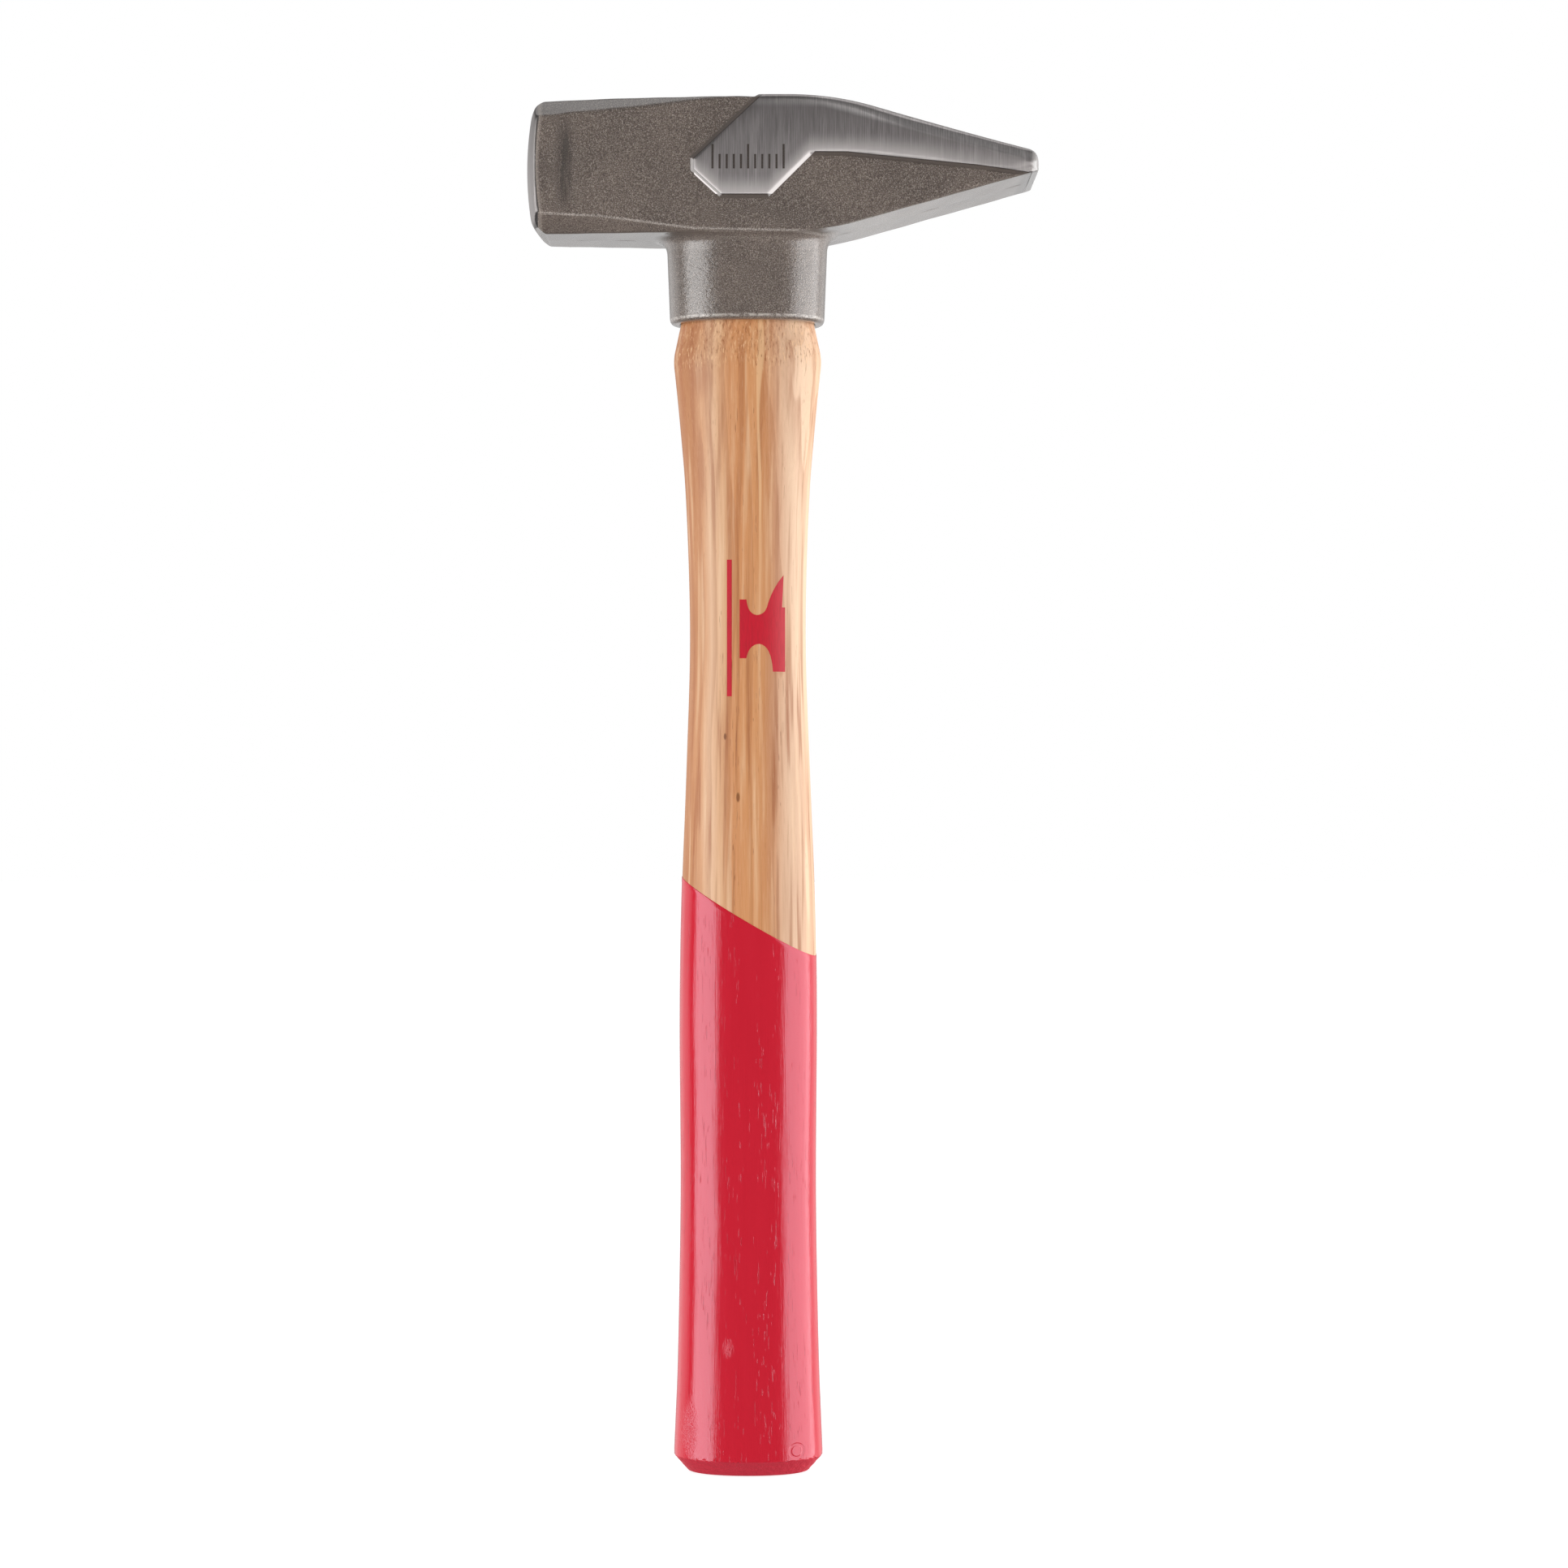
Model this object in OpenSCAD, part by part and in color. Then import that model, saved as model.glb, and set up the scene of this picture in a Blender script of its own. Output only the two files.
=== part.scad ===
// Machinist's cross-pein hammer: a forged head with a guard collar, wedged on an oval hickory
// handle whose grip is dipped in lacquer. Millimetres, +Z up the handle, +X towards the pein.
// The origin is the centre of the handle's butt end, so the hammer stands on z = 0.

/* [Head] */
// Height of the head's flat underside above the butt end
head_z = 327.2; // [310:0.1:345]
// Height of the poll, underside to top
head_h = 35.2; // [33:0.1:37]
// Thickness of the head, cheek to cheek
head_d = 35.5; // [34:0.1:38]
// From the handle's centre line to the middle of the striking face
face_x = 58.7; // [52:0.1:66]
// From the handle's centre line to the tip of the pein
pein_x = 76.3; // [70:0.1:84]
// From the handle's centre line to where the pein starts to taper
pein_root_x = 19.5; // [18:0.1:24]
// Radius of the rounded pein edge
pein_r = 2.3; // [1.6:0.1:3]
// Radius of the crown on the striking face
crown_r = 85; // [80:5:400]
// Width of the ground bevel round the striking face
face_bevel = 2.2; // [1:0.1:3]
// How far the ground land stands out from the cheeks and the top
land_h = 0.8; // [0.4:0.1:1.2]

/* [Collar] */
// Height of the collar's lower rim above the butt end
collar_z = 304.6; // [298:0.1:308]
// Width of the collar along the head, at its top
collar_w = 42.6; // [41:0.1:44]
// Depth of the collar across the head, at its top
collar_d = 31; // [29.5:0.1:32]
// How much the collar narrows down to its rim
collar_taper = 1.6; // [0.5:0.1:2]
// Radius of the fillet where the collar runs into the head
collar_fillet = 2.2; // [1:0.1:2.4]

/* [Eye and wedges] */
// Length of the eye at its waist, along the head
eye_w = 30.8; // [29:0.1:32]
// Width of the eye at its waist, across the head
eye_d = 20.4; // [19:0.1:21]
// Thickness of the wood wedge at its top
wedge_t = 3.6; // [2.8:0.1:4.5]
// Depth of the wood wedge
wedge_l = 28; // [22:1:34]
// Outer diameter of the ring wedge
ring_od = 14; // [12:0.1:15.5]
// Wall of the ring wedge at its top
ring_wall = 1.6; // [1.2:0.1:2]
// Depth of the ring wedge
ring_l = 15; // [10:1:18]

/* [Handle] */
// Width of the butt, where the handle is widest
butt_w = 39.7; // [38:0.1:42]
// Height of the bevel round the butt
butt_bevel = 4.4; // [2:0.1:6]
// Width of the grip at its lower waist
waist_w = 36.2; // [35:0.1:37]
// Height of the lower waist
waist_z = 75; // [60:1:90]
// Width of the grip at its belly
belly_w = 36.7; // [36:0.1:38]
// Height of the belly
belly_z = 120; // [105:1:140]
// Width of the neck at its thinnest
neck_w = 31.1; // [29:0.1:33]
// Height of the thinnest point of the neck
neck_z = 222; // [205:1:240]
// Width of the shoulder just below the collar
shoulder_w = 39.7; // [38:0.1:41]
// Depth of the grip as a share of its width
grip_ratio = 0.71; // [0.68:0.01:0.78]

/* [Dip coat] */
// Thickness of the lacquer
coat_t = 0.15; // [0.1:0.01:0.4]
// Height of the lacquer line at the handle's centre
coat_z = 147.7; // [110:0.1:190]
// Rise of the lacquer line for each millimetre towards the striking face
coat_slope = 0.585; // [0:0.005:1]

/* [Hidden] */
$fn = 96;
far = 400;
fit_gap = 0.03;
side_y = head_d / 2;
top_z = head_z + head_h;
land_top_z = top_z + land_h;
mid_z = head_z + (head_h + land_h) / 2;

// Ovals: superellipses, rounder at 2 and squarer above it
oval_points = 40;
handle_power = 2.1;
eye_power = 2.2;
collar_power = 2.6;

function signed_power(v, p) = sign(v) * pow(abs(v), p);
function oval(w, d, power) = [
    for (i = [0 : oval_points - 1])
        let (a = 360 * i / oval_points)
        [w / 2 * signed_power(cos(a), 2 / power), d / 2 * signed_power(sin(a), 2 / power)]
];

// A solid through a stack of ovals. Each ring is [height, width, depth].
module loft(rings, power) {
    n = oval_points;
    last = len(rings) - 1;
    points = [for (r = rings) for (p = oval(r[1], r[2], power)) [p[0], p[1], r[0]]];
    walls = [
        for (k = [0 : last - 1]) for (i = [0 : n - 1])
            let (j = (i + 1) % n)
            each [[k * n + i, (k + 1) * n + i, (k + 1) * n + j], [k * n + i, (k + 1) * n + j, k * n + j]]
    ];
    bottom = [for (i = [0 : n - 1]) i];
    top = [for (i = [n - 1 : -1 : 0]) last * n + i];
    polyhedron(points, concat(walls, [bottom, top]));
}

// Everything on the outer side of a plane through a point, as a big block
module beyond(point, normal) {
    tilt = acos(normal[2] / norm(normal));
    turn = atan2(normal[1], normal[0]);
    translate(point) rotate([0, tilt, turn]) translate([-far / 2, -far / 2, 0]) cube(far);
}

// Turns an outline drawn in X and Z into a slab between two depths
module slab(outline, y0, y1) {
    translate([0, y1, 0]) rotate([90, 0, 0]) linear_extrude(y1 - y0) polygon(outline);
}

// ---- Handle ----

// Smooth curve through stations [z, width, depth share]; column k of the row is read at height z
function station_slope(s, i, k) =
    let (a = max(i - 1, 0), b = min(i + 1, len(s) - 1))
    (s[b][k] - s[a][k]) / (s[b][0] - s[a][0]);
function station_index(s, z, i = 0) = (i >= len(s) - 2 || z < s[i + 1][0]) ? i : station_index(s, z, i + 1);
function station_value(s, z, k) =
    let (i = station_index(s, z), h = s[i + 1][0] - s[i][0], t = (z - s[i][0]) / h)
    (1 + 2 * t) * pow(1 - t, 2) * s[i][k] + t * pow(1 - t, 2) * h * station_slope(s, i, k)
    + t * t * (3 - 2 * t) * s[i + 1][k] - t * t * (1 - t) * h * station_slope(s, i + 1, k);

function mix(a, b, t) = a + (b - a) * t;

shoulder_z = collar_z - 9.6;
mouth_w = shoulder_w - 4.1;
mouth_d = mouth_w * 0.68;
stations = [
    [butt_bevel, butt_w, grip_ratio],
    [mix(butt_bevel, waist_z, 0.36), mix(butt_w, waist_w, 0.57), grip_ratio],
    [waist_z, waist_w, grip_ratio],
    [belly_z, belly_w, grip_ratio],
    [mix(belly_z, neck_z, 0.31), mix(belly_w, neck_w, 0.16), grip_ratio + 0.01],
    [mix(belly_z, neck_z, 0.65), mix(belly_w, neck_w, 0.63), grip_ratio + 0.02],
    [neck_z, neck_w, grip_ratio + 0.03],
    [mix(neck_z, shoulder_z, 0.5), mix(neck_w, shoulder_w, 0.24), grip_ratio + 0.02],
    [mix(neck_z, shoulder_z, 0.8), mix(neck_w, shoulder_w, 0.65), grip_ratio],
    [shoulder_z, shoulder_w, grip_ratio - 0.03],
];
ring_step = 10;
function handle_ring(z) =
    let (w = station_value(stations, z, 1)) [z, w, w * station_value(stations, z, 2)];
body_rings = [
    for (z = [butt_bevel : ring_step : shoulder_z - ring_step / 2]) handle_ring(z),
    handle_ring(shoulder_z),
];
top_ring = [collar_z, mouth_w - 2 * fit_gap, mouth_d - 2 * fit_gap];
// Above the shoulder the wood turns in, first gently and then at the taper that enters the collar
turn_up = 3;
turn_w = shoulder_w - 0.8;
round_ring = [shoulder_z + turn_up, turn_w, turn_w * (grip_ratio - 0.03)];
bevel_in = butt_bevel * 1.8;
butt_ring = [0, butt_w - bevel_in, butt_w * grip_ratio - bevel_in];
wood_butt_ring = [coat_t, butt_ring[1] - coat_t, butt_ring[2] - coat_t];

// The eye narrows from both ends to its waist, so the wedged tenon can't slip either way
eye_waist_z = head_z + head_h / 2;
eye_flare = 2;
eye_rings = [
    [collar_z, mouth_w, mouth_d],
    [eye_waist_z, eye_w, eye_d],
    [top_z, eye_w + eye_flare, eye_d + eye_flare],
];

function swell(rings, by) = [for (r = rings) [r[0], r[1] + by, r[2] + by]];
function with_height(ring, z) = [z, ring[1], ring[2]];
eye_cut_rings = concat([with_height(eye_rings[0], collar_z - 1)], eye_rings,
                       [with_height(eye_rings[2], land_top_z + 1)]);

kerf_z = top_z - wedge_l;
wedge_tip_t = 1.2;
module wedge_body(gap) {
    half_top = wedge_t / 2 + gap;
    half_tip = wedge_tip_t / 2 + gap;
    rotate([90, 0, 90]) translate([0, 0, -far / 2]) linear_extrude(far)
        polygon([
            [-half_tip, kerf_z - gap], [half_tip, kerf_z - gap], [half_top, top_z], [-half_top, top_z]
        ]);
}

module ring_body(gap) {
    outer = ring_od / 2 + gap;
    inner = ring_od / 2 - ring_wall - gap;
    edge_r = ring_od / 2 - ring_wall / 2;
    edge = 0.2 + gap;
    translate([0, 0, top_z - ring_l]) rotate_extrude()
        polygon([[edge_r - edge, -gap], [edge_r + edge, -gap], [outer, ring_l], [inner, ring_l]]);
}

wood_rings = concat([wood_butt_ring], swell(body_rings, -2 * coat_t), [round_ring, top_ring]);
module handle() {
    color("burlywood") difference() {
        union() {
            loft(wood_rings, handle_power);
            loft(swell(eye_rings, -2 * fit_gap), eye_power);
        }
        wedge_body(fit_gap);
        ring_body(fit_gap);
    }
}

// ---- Lacquer ----

// The line leans towards the pein and, a little, towards the front
coat_lean = 0.125;
coat_rings = [for (r = body_rings) if (r[0] < coat_z + butt_w) r];
module dip_coat() {
    color("crimson") difference() {
        loft(concat([butt_ring], coat_rings), handle_power);
        loft(concat([wood_butt_ring], swell(coat_rings, -2 * coat_t)), handle_power);
        beyond([0, 0, coat_z], [coat_slope, -coat_lean, 1]);
    }
}

// ---- Head ----

// Chamfers along the poll's four long edges: each has a shallow stretch at the face and a steeper
// one that runs out towards the eye. [x, height on the cheek, width on the top or bottom]
chamfer_face = [-face_x, 4.9, 7];
chamfer_bend = [-face_x + 19.7, 4, 4.2];
chamfer_end = [-14, 0.8, 0.2];

module beyond_chamfer(a, b, up, front) {
    edge_z = up > 0 ? top_z : head_z;
    cheek_a = [a[0], front * side_y, edge_z - up * a[1]];
    cheek_b = [b[0], front * side_y, edge_z - up * b[1]];
    flat_a = [a[0], front * (side_y - a[2]), edge_z];
    beyond(cheek_a, -up * front * cross(cheek_b - cheek_a, flat_a - cheek_a));
}

// Ground bevel along one side of the striking face, or across one of its corners. The corner
// bevels lean back by these shares across and up.
corner_lean_y = 0.43;
corner_lean_z = 0.18;
module beyond_face_bevel(up, front) {
    corner = up * front == 0 ? 0 : 1;
    rim_y = front * (side_y - corner * chamfer_face[2] / 2);
    rim_z = mid_z - land_h / 2 + up * (head_h / 2 - corner * chamfer_face[1] / 2);
    outward = [-1, front * (1 - corner * corner_lean_y), up * (1 - corner * corner_lean_z)];
    beyond([-face_x + face_bevel, rim_y, rim_z], outward);
}

// Tip of the pein, a half round between the two tapering faces
tip_arc = 12;
tip_x = pein_x - pein_r;
tip_z = mid_z + 0.4;
function tangent_angle(root_z) =
    let (dx = tip_x - pein_root_x, dz = tip_z - root_z)
    atan2(dz, dx) + (root_z < tip_z ? -1 : 1) * (90 + asin(pein_r / norm([dx, dz])));
function tip_points(from, to) = [
    for (i = [0 : tip_arc])
        let (a = from + (to - from) * i / tip_arc) [tip_x + pein_r * cos(a), tip_z + pein_r * sin(a)]
];

module poll_and_pein() {
    low = tangent_angle(head_z);
    high = tangent_angle(top_z);
    outline = concat([[-face_x - 5, head_z], [pein_root_x, head_z]], tip_points(low, high),
                     [[pein_root_x, top_z], [-face_x - 5, top_z]]);
    intersection() {
        slab(outline, -side_y, side_y);
        translate([crown_r - face_x, 0, mid_z]) sphere(crown_r);
    }
}

// Flat outline with its edges moved in, for a convex outline listed anticlockwise
function inset(outline, by) = [
    for (i = [0 : len(outline) - 1])
        let (n = len(outline),
             before = outline[i] - outline[(i + n - 1) % n],
             after = outline[(i + 1) % n] - outline[i],
             u = [-before[1], before[0]] / norm(before),
             v = [-after[1], after[0]] / norm(after))
        outline[i] + (u + v) * by / (1 + u * v)
];

// The ground land: a shield on the cheek and a band that follows the top of the pein out to its tip
band_slope = (land_top_z - tip_z - pein_r) / (tip_x + 0.5 - pein_root_x);
shield = [
    [-15, mid_z - 2], [-7.2, mid_z - 9.2], [5.4, mid_z - 9.2], [16.6, mid_z + 1.8],
    [pein_root_x, land_top_z], [9, land_top_z], [3.5, land_top_z - land_h / 2], [2, top_z - 0.1],
    [-15, mid_z + 1.4]
];
band_root = [
    [8, mid_z + 1.8], [38, mid_z + 1.1], [46, land_top_z - band_slope * (46 - pein_root_x)],
    [pein_root_x, land_top_z], [8, land_top_z]
];
band_tip = [
    [32, mid_z + 1.6], [tip_x - 2.5, mid_z - 2.4], [tip_x + 0.5, tip_z],
    [tip_x + 0.5, tip_z + pein_r], [32, land_top_z - band_slope * (32 - pein_root_x)]
];

module land(outline, bevel) {
    slab(outline, -side_y, side_y);
    for (front = [-1, 1]) hull() {
        slab(outline, front * side_y - 0.1, front * side_y + 0.1);
        slab(inset(outline, bevel), front * (side_y + land_h) - 0.05, front * (side_y + land_h) + 0.05);
    }
}

module collar() {
    fillet_steps = 5;
    rim_bevel = 0.9;
    low_w = collar_w - collar_taper;
    low_d = collar_d - collar_taper / 2;
    fillet_z = head_z - collar_fillet;
    loft(concat(
        [[collar_z, low_w - 2 * rim_bevel, low_d - 2 * rim_bevel],
         [collar_z + rim_bevel, low_w, low_d],
         [fillet_z, collar_w, collar_d]],
        [for (i = [1 : fillet_steps])
            let (a = 90 * i / fillet_steps, out = 2 * collar_fillet * (1 - cos(a)))
            [fillet_z + collar_fillet * sin(a), collar_w + out, collar_d + out]],
        [[head_z + 4, collar_w, collar_d]]), collar_power);
}

module head() {
    color([0.41, 0.38, 0.35]) difference() {
        union() {
            difference() {
                poll_and_pein();
                for (up = [-1, 1]) for (front = [-1, 1]) intersection() {
                    beyond_chamfer(chamfer_face, chamfer_bend, up, front);
                    beyond_chamfer(chamfer_bend, chamfer_end, up, front);
                }
                for (up = [-1 : 1]) for (front = [-1 : 1]) if (up != 0 || front != 0)
                    beyond_face_bevel(up, front);
            }
            land(shield, land_h);
            land(band_root, land_h);
            land(band_tip, land_h);
            collar();
        }
        loft(eye_cut_rings, eye_power);
    }
}

// ---- Wedges ----

module wood_wedge() {
    color("peru") difference() {
        intersection() {
            wedge_body(0);
            loft(swell(eye_rings, -4 * fit_gap), eye_power);
        }
        ring_body(fit_gap);
    }
}

module ring_wedge() {
    color("silver") ring_body(0);
}

head();
handle();
dip_coat();
wood_wedge();
ring_wedge();
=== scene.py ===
import math

import bmesh
import bpy
import numpy as np
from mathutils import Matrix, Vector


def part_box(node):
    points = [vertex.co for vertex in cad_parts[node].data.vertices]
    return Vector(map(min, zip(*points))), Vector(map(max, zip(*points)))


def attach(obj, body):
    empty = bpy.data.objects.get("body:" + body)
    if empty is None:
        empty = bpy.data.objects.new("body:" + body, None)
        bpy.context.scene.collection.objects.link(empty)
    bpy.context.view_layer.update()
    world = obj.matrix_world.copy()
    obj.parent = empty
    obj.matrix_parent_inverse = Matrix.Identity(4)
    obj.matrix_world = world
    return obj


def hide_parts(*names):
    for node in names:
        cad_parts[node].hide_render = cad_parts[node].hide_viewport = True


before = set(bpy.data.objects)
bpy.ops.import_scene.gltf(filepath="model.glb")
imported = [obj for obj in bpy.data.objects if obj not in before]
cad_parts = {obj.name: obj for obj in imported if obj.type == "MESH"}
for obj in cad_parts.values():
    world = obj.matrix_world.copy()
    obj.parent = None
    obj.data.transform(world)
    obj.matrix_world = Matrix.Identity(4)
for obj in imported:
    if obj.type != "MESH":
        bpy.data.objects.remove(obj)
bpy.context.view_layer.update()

# Sizes, in millimetres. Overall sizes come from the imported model, and the rest
# are the hammer's own driving dimensions.

MM = 1000.0


def box_mm(name):
    """Lowest and highest corners of a CAD node."""
    low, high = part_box(name)
    return np.array(low) * MM, np.array(high) * MM


head_low, head_high = box_mm("head")
coat_high = box_mm("dip_coat")[1]

LAND = 0.8  # how far the ground land stands out from the cheeks and the top
CHEEK = head_high[1] - LAND  # half the head's thickness
TOP = head_high[2] - LAND  # top of the poll
HEAD_HEIGHT = 35.2
UNDER = TOP - HEAD_HEIGHT  # flat underside of the head
MID = (TOP + UNDER) / 2
FACE = head_low[0]  # middle of the striking face
TIP = head_high[0]  # edge of the pein
RIM = head_low[2]  # lower rim of the collar

CROWN_RADIUS = 85.0  # striking face
ROOT = 19.5  # where the pein starts to taper
TIP_HEIGHT = MID + 0.6
TIP_HALF = 2.75  # half the pein's thickness at its edge
TIP_BACK = 0.1  # the edge stops this short of TIP, and its blend with the land makes that up
TIP_FACET = 1.7  # how far the corner flats at the pein's edge reach back
FACET_START = TIP - TIP_FACET - 0.1  # where the matt finish of the pein's edge starts
FLARE = 0.45  # the last stretch of the poll swells by this much towards the face
POLL_RISE = 0.25  # the poll's top is this much above TOP beyond the land
FACE_DROOP = 0.6  # and falls by this much towards the face

COLLAR_HALF = (21.4, 15.5)  # at its top, along and across the head
COLLAR_TAPER = 0.9  # how much the first half narrows down to the rim, and the second by half as much
COLLAR_POWERS = (2.25, 2.55)  # squareness of the oval towards the face and towards the pein
COLLAR_MIDDLE = -0.3  # in X, where the two meet
COLLAR_REACH = 2.0  # how far it runs up into the forging
COLLAR_FILLET = 4.2
EYE_POWER = 2.2
EYE_RINGS = ((RIM, 17.8, 12.1), (MID, 15.4, 10.2), (TOP, 16.4, 11.2))  # height, halves
HANDLE_POWER = 2.1
WOOD_GAP = 0.05  # between the tenon and the eye
TENON_TOP = TOP - 0.15
LEAN = 0.2  # the handle's axis strays this far towards the striking face below the head

# Widths over which creases are rounded
PROFILE_CREASE = 3.0  # where the pein's slopes leave the top and the underside
TIP_CREASE = 2.6  # over the pein's edge
TIP_BREAK = 0.5  # under it
CHEEK_CREASE = 0.7
FACET_CREASE = 0.4
CHAMFER_CREASE = 0.6
CHAMFER_BEND_CREASE = 1.5
FACE_BEVEL_CREASE = 1.0
CROWN_CREASE = 1.2
GROUND_CREASE = 0.35
LAND_CREASE = 0.25
COLLAR_RIM_CREASE = 1.6
COLLAR_TOP_CREASE = 1.0
EYE_CREASE = 0.7

# The lacquer line is where the handle met the surface of the bath
LINE_HEIGHT = 147.7
LINE_SLOPE = 0.585  # rise for each millimetre towards the striking face
LINE_LEAN = 0.125  # rise for each millimetre towards the back
UNDER_COAT = 0.15  # the wood is drawn in by this much under the lacquer
UNDER_COAT_TOP = LINE_HEIGHT - 15  # up to here, below the line's lowest point
COAT_INSIDE = -0.1  # the skin's inner side, from the wood's surface as the CAD has it
COAT_FLOOR = 0.25  # height of the skin's inner side over the butt


# ---- Making meshes ----


def make_object(name, points_mm, faces, material):
    """A smooth mesh object from points in millimetres, riding on the hammer's one body."""
    mesh = bpy.data.meshes.new(name)
    points = (np.asarray(points_mm) / MM).tolist()
    mesh.from_pydata(points, [], [tuple(int(i) for i in f) for f in faces])
    mesh.validate()
    mesh.polygons.foreach_set("use_smooth", [True] * len(mesh.polygons))
    mesh.materials.append(material)
    obj = bpy.data.objects.new(name, mesh)
    bpy.context.scene.collection.objects.link(obj)
    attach(obj, "root")
    return obj


def apply_modifiers(obj):
    bpy.context.view_layer.update()
    graph = bpy.context.evaluated_depsgraph_get()
    mesh = bpy.data.meshes.new_from_object(obj.evaluated_get(graph))
    obj.modifiers.clear()
    obj.data = mesh


# ---- The head, as a signed distance in millimetres that is negative inside ----


def soft_max(a, b, blend):
    """The larger of two distances, with the crease between them rounded over a width of blend."""
    near = np.maximum(blend - np.abs(a - b), 0.0) / blend
    return np.maximum(a, b) + near * near * blend / 4


def soft_min(a, b, blend):
    return -soft_max(-a, -b, blend)


def smooth_step(low, high, value):
    t = np.clip((value - low) / (high - low), 0.0, 1.0)
    return t * t * (3 - 2 * t)


def plane_through(a, b, c):
    """Signed distance from the plane through three points, growing outwards from the head's middle."""
    a, b, c = (np.array(p, dtype=float) for p in (a, b, c))
    normal = np.cross(b - a, c - a)
    normal /= np.linalg.norm(normal) * np.sign(normal[1])
    return lambda x, y, z: (x - a[0]) * normal[0] + (y - a[1]) * normal[1] + (z - a[2]) * normal[2]


def oval_distance(x, y, half_x, half_y, power):
    """Distance to a superellipse, to first order."""
    u = np.abs(x) / half_x
    v = np.abs(y) / half_y
    level = np.maximum((u**power + v**power) ** (1 / power), 0.3)
    slope = np.hypot(u ** (power - 1) / half_x, v ** (power - 1) / half_y) * level ** (1 - power)
    return (level - 1) / np.maximum(slope, 0.02)


def outline_distance(points, x, z):
    """Distance to a closed outline in X and Z, negative inside."""
    nearest = None
    inside = None
    for (ax, az), (bx, bz) in zip(points, points[1:] + points[:1]):
        dx, dz = bx - ax, bz - az
        along = np.clip(((x - ax) * dx + (z - az) * dz) / (dx * dx + dz * dz), 0.0, 1.0)
        far = np.hypot(x - ax - along * dx, z - az - along * dz)
        crosses = ((az > z) != (bz > z)) & (x < ax + (z - az) * dx / (dz if dz else 1e-9))
        nearest = far if nearest is None else np.minimum(nearest, far)
        inside = crosses if inside is None else inside ^ crosses
    return np.where(inside, -nearest, nearest)


HALF_HEIGHT = HEAD_HEIGHT / 2
# Chamfers along the poll's long edges: shallow at the face, then running out towards the eye
CHAMFER_AT_FACE = (FACE, 4.9, 7.0)  # x, height on the cheek, width on the top
CHAMFER_BEND = (FACE + 19.7, 4.0, 4.2)
CHAMFER_END = (-14.0, 0.8, 0.2)


def chamfer_plane(start, end):
    return plane_through(
        (start[0], CHEEK, HALF_HEIGHT - start[1]),
        (end[0], CHEEK, HALF_HEIGHT - end[1]),
        (start[0], CHEEK - start[2], HALF_HEIGHT),
    )


chamfer_near = chamfer_plane(CHAMFER_AT_FACE, CHAMFER_BEND)
chamfer_far = chamfer_plane(CHAMFER_BEND, CHAMFER_END)


def side_profile(x, z, rise=0.0):
    """The head's outline seen from the side, with its top raised by rise."""
    run = TIP - 2 - ROOT  # the slopes have come down to the edge's thickness 2 mm short of it

    def slope(root_height, up):
        drop = up * (root_height - TIP_HEIGHT) - TIP_HALF
        return ((x - ROOT) * drop + up * (z - root_height) * run) / math.hypot(run, drop)

    top = TOP + rise + POLL_RISE * smooth_step(4.0, -4.0, x) - FACE_DROOP * smooth_step(-30.0, FACE, x)
    # The land is thicker on the slope, most of all at its root
    on_slope = rise * (1.8 - 0.9 * smooth_step(ROOT, 70.0, x))
    above = soft_max(z - top, slope(TOP, 1) - on_slope, PROFILE_CREASE)
    below = soft_max(UNDER - z, slope(UNDER, -1), PROFILE_CREASE)
    end = x - TIP + TIP_BACK
    return np.maximum(soft_max(above, end, TIP_CREASE), soft_max(below, end, TIP_BREAK))


# The ground land: a shield on the cheek, and a band along the top of the pein. Outline in X and Z
SHIELD_LEFT = (-15.0, MID - 1.8)
SHIELD_LOW_LEFT = (-7.2, MID - 8.9)
SHIELD_LOW_RIGHT = (5.4, MID - 8.9)
BAND_START = (16.6, MID + 2.2)
SHIELD_TOP_LEFT = (-15.0, MID + 1.7)
SHIELD_TOP_RIGHT = (11.5, TOP + 9)  # above the head, like the outline's right end
BAND_EDGE = [
    (24.0, MID + 2.5),
    (32.0, MID + 2.1),
    (46.0, MID + 0.6),
    (60.0, MID - 1.3),
    (TIP - 3.5, MID - 2.6),
]
LAND_OUTLINE = [
    SHIELD_LEFT,
    SHIELD_LOW_LEFT,
    SHIELD_LOW_RIGHT,
    BAND_START,
    *BAND_EDGE,
    (TIP + 3, BAND_EDGE[-1][1]),
    (TIP + 3, SHIELD_TOP_RIGHT[1]),
    SHIELD_TOP_RIGHT,
    SHIELD_TOP_LEFT,
]
BEVEL_RUN = 0.75  # rise of the land's bevel for each millimetre across


# Bevels round the striking face: (X where it leaves the side, how far it runs inwards, over what length)
CHEEK_BEVEL = (FACE + 2.8, 1.0, 1.0)
FLAT_BEVEL = (FACE + 5.3, 1.0, 1.2)
CORNER_REACH = 22.1  # where the corner bevel leaves the side, measured out along the diagonal


def striking_face(x, y, z):
    """The domed face with its ground bevels, which cuts the poll off."""
    centre = FACE + CROWN_RADIUS
    crown = np.sqrt((x - centre) ** 2 + y**2 + (z - MID) ** 2) - CROWN_RADIUS

    def bevel(side, half, shape):
        start, run, length = shape
        return ((start - x) * run + (side - half) * length) / math.hypot(run, length)

    on_cheek = bevel(np.abs(y), CHEEK + FLARE, CHEEK_BEVEL)
    on_flat = bevel(np.abs(z - MID), HALF_HEIGHT, FLAT_BEVEL)
    on_corner = bevel((np.abs(y) + np.abs(z - MID)) * math.sqrt(0.5), CORNER_REACH, CHEEK_BEVEL)
    bevels = soft_max(soft_max(on_cheek, on_flat, FACE_BEVEL_CREASE), on_corner, FACE_BEVEL_CREASE)
    return soft_max(crown, bevels, CROWN_CREASE)


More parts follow.
